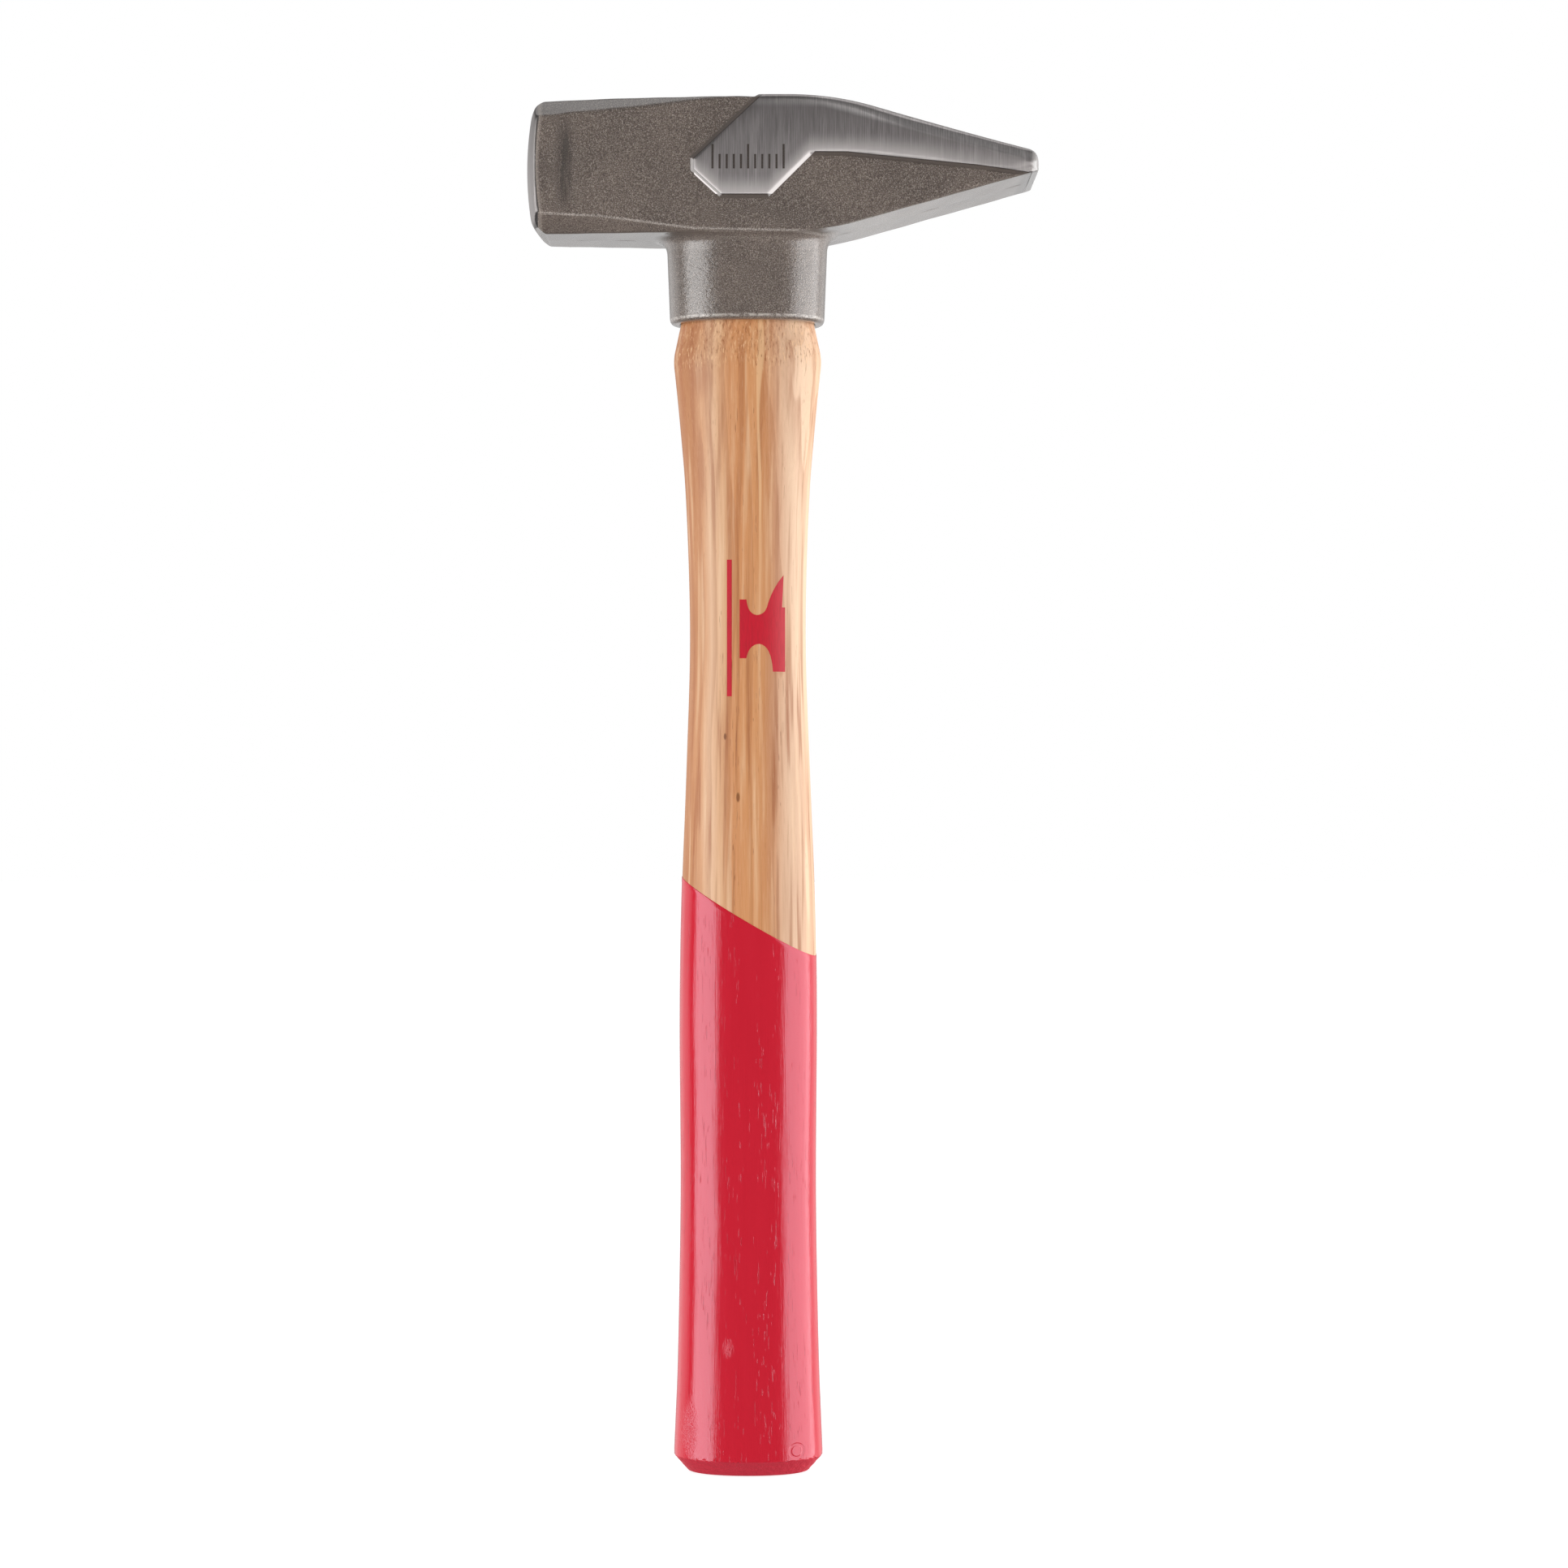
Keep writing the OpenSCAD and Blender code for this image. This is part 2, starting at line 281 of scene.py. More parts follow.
def end_facet(x, across, half):
    """Flat at about 45 degrees that takes the corner off between a cheek and the pein's edge."""
    return 0.7 * (x - TIP + TIP_FACET) + 0.714 * (across - half)


def forging(x, y, z):
    """Poll and pein, before the land, collar and eye."""
    across = np.abs(y)
    height = np.abs(z - MID)
    swell = FLARE * smooth_step(-46.0, -51.0, x)
    cheek = across - CHEEK - swell
    body = soft_max(side_profile(x, z), cheek, CHEEK_CREASE)
    body = soft_max(body, end_facet(x, across, CHEEK), FACET_CREASE)
    near, far = chamfer_near(x, across, height), chamfer_far(x, across, height)
    body = soft_max(body, soft_min(near, far, CHAMFER_BEND_CREASE), CHAMFER_CREASE)
    # Shallow unevenness left by the forging dies
    dents = 0.05 * np.sin(0.31 * x + 0.4 * z) * np.sin(0.23 * x - 0.37 * z + 1.3 * np.sign(y) + 0.2 * y)
    return soft_max(body + dents, striking_face(x, y, z), GROUND_CREASE)


def land(x, y, z):
    """The raised ground surfaces, on the cheeks and along the top."""
    outline = outline_distance(LAND_OUTLINE, x, z)
    proud = np.abs(y) - CHEEK
    bevel = (BEVEL_RUN * outline + proud) / math.hypot(BEVEL_RUN, 1)
    # The belt rolled the surface off towards the outline and leaned in towards the top
    rolled = 0.2 * np.exp(np.minimum(outline, 0.0) / 1.2)
    bellied = 0.0017 * np.maximum(z - MID, 0.0) ** 2
    ground = proud - LAND + rolled + bellied
    top_crease = 1.6 + 2.0 * smooth_step(15.0, 45.0, x)
    face = soft_max(ground, side_profile(x, z, LAND), top_crease)
    face = soft_max(face, end_facet(x, np.abs(y), CHEEK + LAND), FACET_CREASE)
    return soft_max(soft_max(face, outline, LAND_CREASE), bevel, LAND_CREASE)


def collar(x, y, z):
    """An oval that narrows from the underside of the head to its rim."""
    share = (z - RIM) / (UNDER - RIM)
    half_x = COLLAR_HALF[0] - COLLAR_TAPER * (1 - share)
    half_y = COLLAR_HALF[1] - COLLAR_TAPER / 2 * (1 - share)
    beside = x - COLLAR_MIDDLE
    wall = oval_distance(beside, y, half_x, half_y, np.where(beside < 0, *COLLAR_POWERS))
    return soft_max(soft_max(wall, RIM - z, COLLAR_RIM_CREASE), z - UNDER - COLLAR_REACH, COLLAR_TOP_CREASE)


def lean(height):
    """Where the handle's axis runs in X. It strays below the head, and is central in the eye."""
    return -LEAN * smooth_step(150.0, 270.0, height) * np.clip((MID - height) / (MID - RIM), 0.0, 1.0)


def eye(x, y, z):
    heights, half_x, half_y = zip(*EYE_RINGS)
    halves = np.interp(z, heights, half_x), np.interp(z, heights, half_y)
    return oval_distance(x - lean(z), y, *halves, EYE_POWER)


def head(x, y, z):
    """The whole head."""
    steel = soft_min(forging(x, y, z), land(x, y, z), GROUND_CREASE)
    steel = soft_min(steel, collar(x, y, z), COLLAR_FILLET)
    return soft_max(steel, -eye(x, y, z), EYE_CREASE)


def gradient(field, points, step=0.02):
    x, y, z = points.T
    return np.stack(
        [
            field(x + step, y, z) - field(x - step, y, z),
            field(x, y + step, z) - field(x, y - step, z),
            field(x, y, z + step) - field(x, y, z - step),
        ],
        axis=1,
    ) / (2 * step)


def settle(field, points, rounds, reach):
    """Moves points onto the field's zero surface."""
    for _ in range(rounds):
        slope = gradient(field, points)
        steps = field(*points.T) / np.maximum((slope**2).sum(axis=1), 1e-3)
        points = points - np.clip(steps, -reach, reach)[:, None] * slope
    return points


def surface_net(field, low, high, pitch):
    """Points and quads of the field's zero surface: one point in each grid cell that it crosses."""
    axes = [np.arange(a - 2.5 * pitch, b + 3.5 * pitch, pitch) for a, b in zip(low, high)]
    inside = field(*np.ix_(*axes)) < 0
    count = 0
    for i, j, k in np.ndindex(2, 2, 2):
        count = count + inside[i : i - 1 or None, j : j - 1 or None, k : k - 1 or None].astype(np.int8)
    crossed = (count > 0) & (count < 8)
    number = np.cumsum(crossed).reshape(crossed.shape) - 1
    cells = np.argwhere(crossed)
    points = np.stack([axes[a][cells[:, a]] + pitch / 2 for a in range(3)], axis=1)
    quads = []
    for axis in range(3):
        size = inside.shape[axis]
        starts_inside = np.take(inside, range(size - 1), axis)
        ends_inside = np.take(inside, range(1, size), axis)
        edges = np.argwhere(starts_inside != ends_inside)
        outward = starts_inside[tuple(edges.T)]
        first, second = np.eye(3, dtype=int)[[(axis + 1) % 3, (axis + 2) % 3]]
        around = [number[tuple((edges - back).T)] for back in (first + second, second, 0 * first, first)]
        ring = np.stack(around, axis=1)
        ring[~outward] = ring[~outward][:, ::-1]
        quads.append(ring)
    return points, np.concatenate(quads)


def make_head(material):
    """The head's surface, on a fine grid, then thinned and moved back onto the exact shape."""
    pitch = 0.42
    kept_share = 0.3
    points, quads = surface_net(head, head_low, head_high, pitch)
    points = settle(head, points, 4, pitch / 2)
    obj = make_object("forged_head", points, quads, material)
    thin = obj.modifiers.new("thin flat stretches", "DECIMATE")
    thin.ratio = kept_share
    apply_modifiers(obj)
    mesh = obj.data
    flat = np.empty(len(mesh.vertices) * 3)
    mesh.vertices.foreach_get("co", flat)
    points = settle(head, flat.reshape(-1, 3) * MM, 1, 0.1)
    mesh.vertices.foreach_set("co", (points / MM).ravel())
    normals = gradient(head, points)
    normals /= np.linalg.norm(normals, axis=1)[:, None]
    mesh.polygons.foreach_set("use_smooth", [True] * len(mesh.polygons))
    mesh.normals_split_custom_set_from_vertices(normals.tolist())
    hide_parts("head")
    return obj


# ---- The handle and its lacquer ----


def cad_rings(name):
    """Height and half sizes of a CAD node's levels that have a full ring of points."""
    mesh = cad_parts[name].data
    flat = np.empty(len(mesh.vertices) * 3)
    mesh.vertices.foreach_get("co", flat)
    points = flat.reshape(-1, 3) * MM
    rings = []
    for height in np.unique(points[:, 2].round(2)):
        level = points[np.abs(points[:, 2] - height) < 0.02]
        if len(level) >= 36 and level[:, 0].min() < -5 and level[:, 0].max() > 5:
            rings.append((height, level[:, 0].max(), level[:, 1].max()))
    return np.array(rings)


wood_rings = cad_rings("handle")
wood_rings = wood_rings[wood_rings[:, 0] < RIM - 0.5]
BUTT_TOP = wood_rings[1, 0]  # upper edge of the butt's bevel
COAT = coat_high[0] - wood_rings[1, 1]  # thickness of the lacquer
SHOULDER = wood_rings[wood_rings[:, 0] > RIM - 20][:, 0].min()


def smooth_through(heights, values, wanted):
    """Cubic through the given values, with the slope at each one taken from its neighbours."""
    slopes = np.gradient(values, heights)
    at = np.clip(np.searchsorted(heights, wanted) - 1, 0, len(heights) - 2)
    width = heights[at + 1] - heights[at]
    t = (wanted - heights[at]) / width
    return (
        (1 + 2 * t) * (1 - t) ** 2 * values[at]
        + t * (1 - t) ** 2 * width * slopes[at]
        + t**2 * (3 - 2 * t) * values[at + 1]
        - t**2 * (1 - t) * width * slopes[at + 1]
    )


def wood_halves(height):
    """Half the handle's width and depth at a height. Above the shoulder the sides just carry on."""
    rings = wood_rings[(wood_rings[:, 0] >= BUTT_TOP) & (wood_rings[:, 0] <= SHOULDER)]
    within = np.minimum(height, SHOULDER)
    beyond = height - within
    last_rise = (rings[-1] - rings[-2]) / (rings[-1, 0] - rings[-2, 0])
    return (
        smooth_through(rings[:, 0], rings[:, 1], within) + beyond * last_rise[1],
        smooth_through(rings[:, 0], rings[:, 2], within) + beyond * last_rise[2],
    )


def oval_point(angle, half_x, half_y, power):
    cos, sin = np.cos(angle), np.sin(angle)
    return (
        half_x * np.sign(cos) * np.abs(cos) ** (2 / power),
        half_y * np.sign(sin) * np.abs(sin) ** (2 / power),
    )


SIDES = 180
ANGLES = 2 * math.pi * np.arange(SIDES) / SIDES

# The taper cut from the shoulder up to the collar: half width and depth at the rim, and their
# growth for each millimetre down
MOUTH = (17.75, 12.1)
MOUTH_GROWTH = (0.215, 0.105)
MOUTH_CREASE = 0.7


def ring_at(height, x, y):
    """A ring of points round the handle's axis."""
    return np.stack([x + lean(height), y, height * np.ones(SIDES)], axis=1)


def wood_ring(height):
    """Points round the handle at a height, with the taper cut's crease below the collar."""
    half_x, half_y = wood_halves(height)
    drawn_in = UNDER_COAT * (height < UNDER_COAT_TOP)
    side_x, side_y = oval_point(ANGLES, half_x - drawn_in, half_y - drawn_in, HANDLE_POWER)
    down = RIM - height
    halves = [half + growth * down for half, growth in zip(MOUTH, MOUTH_GROWTH)]
    cut_x, cut_y = oval_point(ANGLES, *halves, HANDLE_POWER)
    reach = np.hypot(side_x, side_y)
    share = soft_min(reach, np.hypot(cut_x, cut_y), MOUTH_CREASE) / reach
    return ring_at(height, side_x * share, side_y * share)


def mark_sharp(obj, degrees):
    """Smooth shading that breaks where faces meet at more than an angle."""
    mesh = obj.data
    bm = bmesh.new()
    bm.from_mesh(mesh)
    limit = math.radians(degrees)
    for edge in bm.edges:
        edge.smooth = len(edge.link_faces) == 2 and edge.calc_face_angle(0) < limit
    bm.to_mesh(mesh)
    bm.free()


def loft(name, rings, ends, material, sharp):
    """A closed mesh through rings of points, capped at both ends onto points at two heights."""
    last = (len(rings) - 1) * SIDES
    points = np.concatenate(rings + [[[0, 0, height] for height in ends]])
    sides = [(i, (i + 1) % SIDES) for i in range(SIDES)]
    faces = [(k + i, k + j, k + SIDES + j, k + SIDES + i) for k in range(0, last, SIDES) for i, j in sides]
    faces += [(len(points) - 2, j, i) for i, j in sides]
    faces += [(last + i, last + j, len(points) - 1) for i, j in sides]
    obj = make_object(name, points, faces, material)
    mark_sharp(obj, sharp)
    return obj


def make_handle(material):
    """Butt to collar, and on through the eye as the tenon."""
    butt = wood_rings[0]
    rings = [ring_at(butt[0], *oval_point(ANGLES, butt[1], butt[2], HANDLE_POWER))]
    for height in (*np.arange(BUTT_TOP, SHOULDER - 10, 2.0), *np.arange(SHOULDER - 10, RIM + 0.5, 0.5)):
        rings.append(wood_ring(height))
    heights, eye_x, eye_y = zip(*EYE_RINGS)
    for height in np.linspace(RIM + 0.9, TENON_TOP, 16):
        half_x = np.interp(height, heights, eye_x) - WOOD_GAP
        half_y = np.interp(height, heights, eye_y) - WOOD_GAP
        rings.append(ring_at(height, *oval_point(ANGLES, half_x, half_y, EYE_POWER)))
    # The tenon's top is eased a little
    rings[-1][:, :2] *= 0.99
    obj = loft("hickory_handle", rings, (butt[0], TENON_TOP), material, sharp=40)
    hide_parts("handle")
    return obj


def line_height(angle):
    """Height of the lacquer line at each angle round the handle."""
    height = np.full(np.shape(angle), LINE_HEIGHT)
    for _ in range(6):
        half_x, half_y = wood_halves(height)
        x, y = oval_point(angle, half_x, half_y, HANDLE_POWER)
        height = LINE_HEIGHT - LINE_SLOPE * x + LINE_LEAN * y
    return height


def ripple(height):
    """Long shallow waves left where the bath drained down the grip, up to 0.06 mm deep."""
    broad = np.sin(7 * ANGLES + 0.043 * height) * np.sin(0.071 * height + 2 * ANGLES)
    narrow = np.sin(17 * ANGLES + 0.9 + 0.03 * height) * np.sin(0.13 * height - 3 * ANGLES)
    return 0.02 * (broad + 0.6 * narrow) - 0.03


def make_coat(material):
    """A closed skin: up the outside from the butt to the slanting line, and back down inside."""
    butt = wood_rings[0]

    def on_butt(height, share, swell):
        half_x, half_y = butt[1] * share + swell, butt[2] * share + swell
        return ring_at(height, *oval_point(ANGLES, half_x, half_y, HANDLE_POWER))

    def on_grip(height, swell):
        half_x, half_y = wood_halves(height)
        return ring_at(height, *oval_point(ANGLES, half_x + swell, half_y + swell, HANDLE_POWER))

    rings = [on_butt(0, 0.5, 0), on_butt(0, 1.0, COAT - 0.35), on_butt(0.15, 1.0, COAT + 0.05)]
    # The butt's bevel is lumpy
    low = np.array([butt[1], butt[2]]) + COAT
    high = np.array(wood_halves(BUTT_TOP)) + COAT
    for share in np.linspace(0.08, 0.95, 11):
        half_x, half_y = low + (high - low) * share - 0.08
        lumps = np.sin(23 * ANGLES + 9 * share) * np.sin(11 * ANGLES - 7 * share)
        lumpy = 1 + 0.004 * (lumps + np.sin(41 * ANGLES + 17 * share))
        x, y = oval_point(ANGLES, half_x, half_y, HANDLE_POWER)
        rings.append(ring_at(BUTT_TOP * share, x * lumpy, y * lumpy))
    # The grip's rings tilt step by step from the bevel's ragged upper edge to the lacquer line
    top = line_height(ANGLES)
    sweep = BUTT_TOP + (top - BUTT_TOP)[None, :] * np.linspace(0, 1, 110)[:, None]
    sweep[0] += 0.1 * np.sin(13 * ANGLES) * np.sin(5 * ANGLES + 1) + 0.07 * np.sin(37 * ANGLES)
    for index, height in enumerate(sweep[:-1]):
        rings.append(on_grip(height, COAT + ripple(height) - (0.06 if index == 0 else 0)))
    # A rounded step down onto the wood, then the inner side
    rings += [on_grip(top - 0.25, COAT), on_grip(top - 0.05, COAT * 0.6), on_grip(top, COAT * 0.1)]
    rings.append(on_grip(top - 0.1, COAT_INSIDE))
    rings += [on_grip(height, COAT_INSIDE) for height in sweep[::-6][1:]]
    rings += [on_butt(COAT_FLOOR, 1.0, COAT_INSIDE), on_butt(COAT_FLOOR, 0.5, 0)]
    obj = loft("grip_lacquer", rings, (0, COAT_FLOOR), material, sharp=28)
    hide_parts("dip_coat")
    return obj


# ---- Shader nodes ----


def node(tree, kind, inputs=None, **settings):
    """A new shader node. Its inputs, by name or number, are constants or patterns."""
    made = tree.nodes.new("ShaderNode" + kind)
    for key, value in settings.items():
        setattr(made, key, value)
    for key, value in (inputs or {}).items():
        if isinstance(value, Pattern):
            tree.links.new(value.socket, made.inputs[key])
        else:
            made.inputs[key].default_value = value
    return made


class Pattern:
    """A number, colour or place that varies over a surface: one output of a shader node."""

    __array_ufunc__ = None  # numpy's numbers leave arithmetic with patterns to this class

    def __init__(self, made, output=0):
        self.tree = made.id_data
        self.socket = made.outputs[output]

    def feed(self, kind, inputs, output=0, **settings):
        """The output of a new node that has this pattern among its inputs."""
        return Pattern(node(self.tree, kind, inputs, **settings), output)

    def math(self, operation, first, second=0.0):
        return self.feed("Math", {0: first, 1: second}, operation=operation)

    def __add__(self, other):
        return self.math("ADD", self, other)

    def __sub__(self, other):
        return self.math("SUBTRACT", self, other)

    def __rsub__(self, other):
        return self.math("SUBTRACT", other, self)

    def __mul__(self, other):
        return self.math("MULTIPLY", self, other)

    def __truediv__(self, other):
        return self.math("DIVIDE", self, other)

    def __abs__(self):
        return self.math("ABSOLUTE", self)

    def fraction(self):
        return self.math("FRACT", self)

    def at_least(self, other):
        return self.math("MAXIMUM", self, other)

    def at_most(self, other):
        return self.math("MINIMUM", self, other)

    def above(self, limit):
        """1 where this is above the limit, and 0 elsewhere."""
        return self.math("GREATER_THAN", self, limit)

    def below(self, limit):
        """1 where this is below the limit, and 0 elsewhere."""
        return self.math("LESS_THAN", self, limit)

    def remap(self, start, end, to_start=0.0, to_end=1.0, easing="SMOOTHSTEP"):
        """Takes the stretch from start to end onto another one, and is level beyond its ends."""
        sockets = {0: self, 1: start, 2: end, 3: to_start, 4: to_end}
        return self.feed("MapRange", sockets, interpolation_type=easing)

    def vector(self, operation, *others, output=0):
        sockets = dict(enumerate((self, *others)))
        return self.feed("VectorMath", sockets, output, operation=operation)

    def length(self):
        return self.vector("LENGTH", output="Value")

    def axes(self):
        made = node(self.tree, "SeparateXYZ", {0: self})
        return [Pattern(made, index) for index in range(3)]


def noise(place, scale, detail, roughness=0.5):
    """Noise from 0 to 1. The scale is one number, or one for each axis where the grain is drawn out."""
    if isinstance(scale, tuple):
        place = place.feed("Mapping", {"Vector": place, "Scale": scale})
        scale = 1.0
    sockets = {"Vector": place, "Scale": scale, "Detail": detail, "Roughness": roughness}
    return place.feed("TexNoise", sockets)


def mix(share, a, b):
    """Colour a where the share is 0 and colour b where it is 1."""
    a, b = (c if isinstance(c, Pattern) else (*c, 1.0) for c in (a, b))
    return share.feed("Mix", {0: share, 6: a, 7: b}, output=2, data_type="RGBA")


def ramp(share, stops):
    """A colour ramp through stops of (position, colour)."""
    made = node(share.tree, "ValToRGB", {0: share})
    elements = made.color_ramp.elements
    while len(elements) < len(stops):
        elements.new(0.5)
    for element, (position, colour) in zip(elements, stops):
        element.position = position
        element.color = (*colour, 1.0)
    return Pattern(made)


def bump(height, depth_mm, strength):
    return height.feed("Bump", {"Height": height, "Strength": strength, "Distance": depth_mm / MM})


def principled(tree, **sockets):
    """A Principled shader. Underscores in the names stand for spaces."""
    inputs = {key.replace("_", " "): value for key, value in sockets.items()}
    return Pattern(node(tree, "BsdfPrincipled", inputs))


def new_material(name):
    """An empty material, its node tree, and the place on the surface in millimetres."""
    material = bpy.data.materials.new(name)
    material.use_nodes = True
    tree = material.node_tree
    tree.nodes.clear()
    place = Pattern(node(tree, "TexCoord"), "Object")
    mm = place.feed("VectorMath", {0: place, "Scale": MM}, operation="SCALE")
    return material, tree, mm


def srgb(*values):
    """Linear colour from the usual 0 to 255 values."""
    return tuple(v / 255 / 12.92 if v <= 10 else ((v / 255 + 0.055) / 1.055) ** 2.4 for v in values)


# ---- The head's material ----

PAINTED = 1.0  # edges of the land that face away from the grinding belt keep their lacquer this far in

# Lower edge of the cheek in X and Z: the poll's chamfer, then the pein's slope
CHEEK_LOW = [
    (FACE, UNDER + CHAMFER_AT_FACE[1]),
    (CHAMFER_BEND[0], UNDER + CHAMFER_BEND[1]),
    (CHAMFER_END[0], UNDER + CHAMFER_END[1]),
    (ROOT, UNDER),
    (TIP, TIP_HEIGHT - TIP_HALF),
]
LAND_TOP = [(0.0, TOP + LAND), (ROOT, TOP + LAND), (TIP, TIP_HEIGHT + TIP_HALF)]
LAND_LOW = [SHIELD_LEFT, SHIELD_LOW_LEFT, SHIELD_LOW_RIGHT, BAND_START, *BAND_EDGE[1:]]


def height_along(x, stations):
    """Height at x of a line through stations in X and Z."""
    height = stations[0][1]
    for (xa, za), (xb, zb) in zip(stations, stations[1:]):
        height = x.remap(xa, xb, 0.0, zb - za, easing="LINEAR") + height
    return height


def inward(x, z, start, end, inset=0.0):
    """Distance to the left of the line from start to end in X and Z, less an inset."""
    along = np.array(end) - start
    left = np.array([-along[1], along[0]]) / np.hypot(*along)
    reach = x * float(left[0]) + z * float(left[1])
    return reach - (float(left @ start) + inset)


def land_depth(x, z, averted=0.0, lower_left=0.0):
    """Distance inwards from the land's outline, with its edges drawn in by insets."""
    band = inward(x, z, BAND_START, BAND_EDGE[1], averted)
    for start, end in zip(BAND_EDGE[1:], BAND_EDGE[2:]):
        band = band.at_least(inward(x, z, start, end, averted))
    depth = band.at_least(inward(x, z, SHIELD_LOW_RIGHT, BAND_START))
    shield = (
        inward(x, z, SHIELD_LEFT, SHIELD_LOW_LEFT, lower_left),
        inward(x, z, SHIELD_LOW_LEFT, SHIELD_LOW_RIGHT, averted),
        inward(x, z, SHIELD_TOP_RIGHT, SHIELD_TOP_LEFT, averted),
        x - (SHIELD_LEFT[0] + averted),
    )
    for side in shield:
        depth = depth.at_most(side)
    return depth


def face_depth(mm):
    """Distance in front of the line where the ground face meets the lacquer."""
    from_centre = mm.vector("DISTANCE", (FACE + CROWN_RADIUS, 0, MID), output="Value")
    return (from_centre - (CROWN_RADIUS - 0.9)).at_most(FACE + 5.0 - mm.axes()[0])


def ground_mask(mm):
    """1 on the ground land and the striking face, 0 on the rest."""
    x, _, z = mm.axes()
    on_land = land_depth(x, z, PAINTED, 0.9).above(0.0)
    # The lower left bevel is ground as well, at its foot
    foot = land_depth(x, z, PAINTED, -0.1).above(0.0)
    near_foot = inward(x, z, SHIELD_LEFT, SHIELD_LOW_LEFT).below(0.3)
    on_face = face_depth(mm).above(0.0)
    return (on_land.at_least(foot * near_foot) * x.below(FACET_START)).at_least(on_face)


def lacquered_forging(tree, mm):
    """Blasted forging under warm grey metallic lacquer."""
    x, _, z = mm.axes()
    facing = Pattern(node(tree, "NewGeometry"), "Normal").axes()[2]
    grain = noise(mm, 3.8, 1.0)
    fine = noise(mm, 6.6, 1.0)
    coarse = noise(mm, 0.9, 2.0)
    patches = noise(mm, 0.07, 3.0)
    speckle = grain * 0.6 + fine * 0.4
    in_land = land_depth(x, z)
    on_land = in_land.remap(-0.3, 0.1)
    off_middle = abs(z - MID)

    # The blasted texture shows on the cheeks and chamfers, and hardly at all above and below
    textured = facing.remap(0.84, 0.94, 1.0, 0.15) * facing.remap(-0.9, -0.97, 1.0, 0.15)
    textured = textured * on_land.remap(0.0, 1.0, 1.0, 0.3)
    paint = mix(patches.remap(0.35, 0.65), srgb(97, 85, 77), srgb(109, 96, 87))
    # Painted reflection: lighter on faces turned down. Painted shade: darker on faces turned up
    paint = mix(facing.remap(-0.25, -0.6, 0.0, 0.25), paint, srgb(150, 136, 126))
    paint = mix(facing.remap(0.1, 0.5, 0.0, 0.6), paint, srgb(80, 71, 66))
    paint = mix(textured * speckle.remap(0.5, 0.36, 0.0, 0.8), paint, srgb(64, 56, 52))
    paint = mix(textured * speckle.remap(0.51, 0.66, 0.0, 0.52), paint, srgb(198, 184, 174))

    # Smooth lacquer on the land's bevels, darkened there as painted shade, and darkest in a line at their
    # upper edge
    lip = in_land.remap(PAINTED - 0.4, PAINTED - 0.1)
    paint = mix(on_land * 0.7, paint, srgb(84, 74, 69))
    paint = mix(lip * 0.7, paint, srgb(50, 44, 41))

    # Painted shade of a shallow swage near the striking face, which the mesh has no dent for: darker and
    # streaked down its length
    streaks = noise(mm, (1.5, 1.0, 0.09), 3.0, 0.6)
    swage_shade = abs(x - (FACE + 10.8)).remap(3.0, 0.3) * off_middle.remap(14.5, 6.0)
    swage_shade = swage_shade * streaks.remap(0.3, 0.6, 0.45, 1.0)
    paint = mix(swage_shade * 0.72, paint, srgb(56, 49, 46))

    # Lacquer rubbed thin in grains along the cheek's lower edge and the collar's rim
    off_edge = abs(z - height_along(x, CHEEK_LOW))
    off_rim = abs(z - (RIM + 1.1))
    worn_edge = off_edge.remap(0.45, 0.1) * grain.remap(0.44, 0.58, 0.15, 0.6)
    worn_rim = off_rim.remap(0.55, 0.1) * coarse.remap(0.35, 0.6, 0.1, 0.7)
    paint = mix(worn_edge.at_least(worn_rim), paint, srgb(205, 196, 188))

    # A painted highlight makes the lacquer lighter towards the ground face, and it ends there in a dark rim
    behind_face = face_depth(mm)
    paint = mix(behind_face.remap(-1.4, -0.5, 0.0, 0.4), paint, srgb(190, 178, 168))
    rim = behind_face.remap(-0.4, -0.2) * off_middle.remap(13.5, 12.0, 0.0, 0.85)
    paint = mix(rim, paint, srgb(40, 36, 34))

    # The pein's edge has a matt light finish
    on_tip = x.above(FACET_START)
    paint = mix(on_tip, paint, srgb(146, 142, 140))
    textured = textured * (1.0 - on_tip)
    relief = speckle * textured
    peel = relief + coarse * textured * 1.4
    return principled(
        tree,
        Base_Color=paint,
        Metallic=0.3,
        Roughness=0.5,
        Normal=bump(relief, 0.4, 0.9),
        Coat_Weight=1.0,
        Coat_Roughness=0.09,
        Coat_IOR=1.62,
        Coat_Normal=bump(peel, 0.1, 0.6),
    )


def ground_steel(tree, mm):
    """Bare steel with the marks of a grinding belt that ran up and down."""
    x, _, z = mm.axes()
    brushed = noise(mm, (4.5, 0.5, 0.1), 3.0, 0.7)
    broad = noise(mm, (0.5, 0.1, 0.04), 2.0)
    tone = mix(brushed.remap(0.3, 0.7), srgb(126, 121, 121), srgb(166, 160, 159))
    tone = mix(broad.remap(0.3, 0.7, 0.0, 0.5), tone, srgb(142, 137, 136))
    # Painted reflection: lighter towards the land's lower edge
    above_edge = z - height_along(x, LAND_LOW)
    lower_reflection = above_edge.remap(6.5, 1.0) * x.remap(40.0, 70.0, 0.7, 0.3)
    tone = mix(lower_reflection, tone, srgb(206, 200, 198))
    # A painted highlight: a paler streak just under the rounded top edge
    under_top = height_along(x, LAND_TOP) - z
    pale = under_top.remap(3.8, 2.0) * under_top.remap(0.2, 1.6, 0.35, 1.0)
    pale = pale * brushed.remap(0.35, 0.65, 0.45, 0.9) * x.remap(10.0, 26.0, 0.3, 0.9)
    tone = mix(pale, tone, srgb(236, 231, 230))
    # The striking face has one even tone
    tone = mix(x.below(FACE + 6), tone, srgb(134, 130, 129))
    return principled(
        tree,
        Base_Color=tone,
        Metallic=1.0,
        Roughness=brushed.remap(0.3, 0.7, 0.38, 0.46),
        Anisotropic=0.85,
        Normal=bump(brushed, 0.03, 0.6),
    )


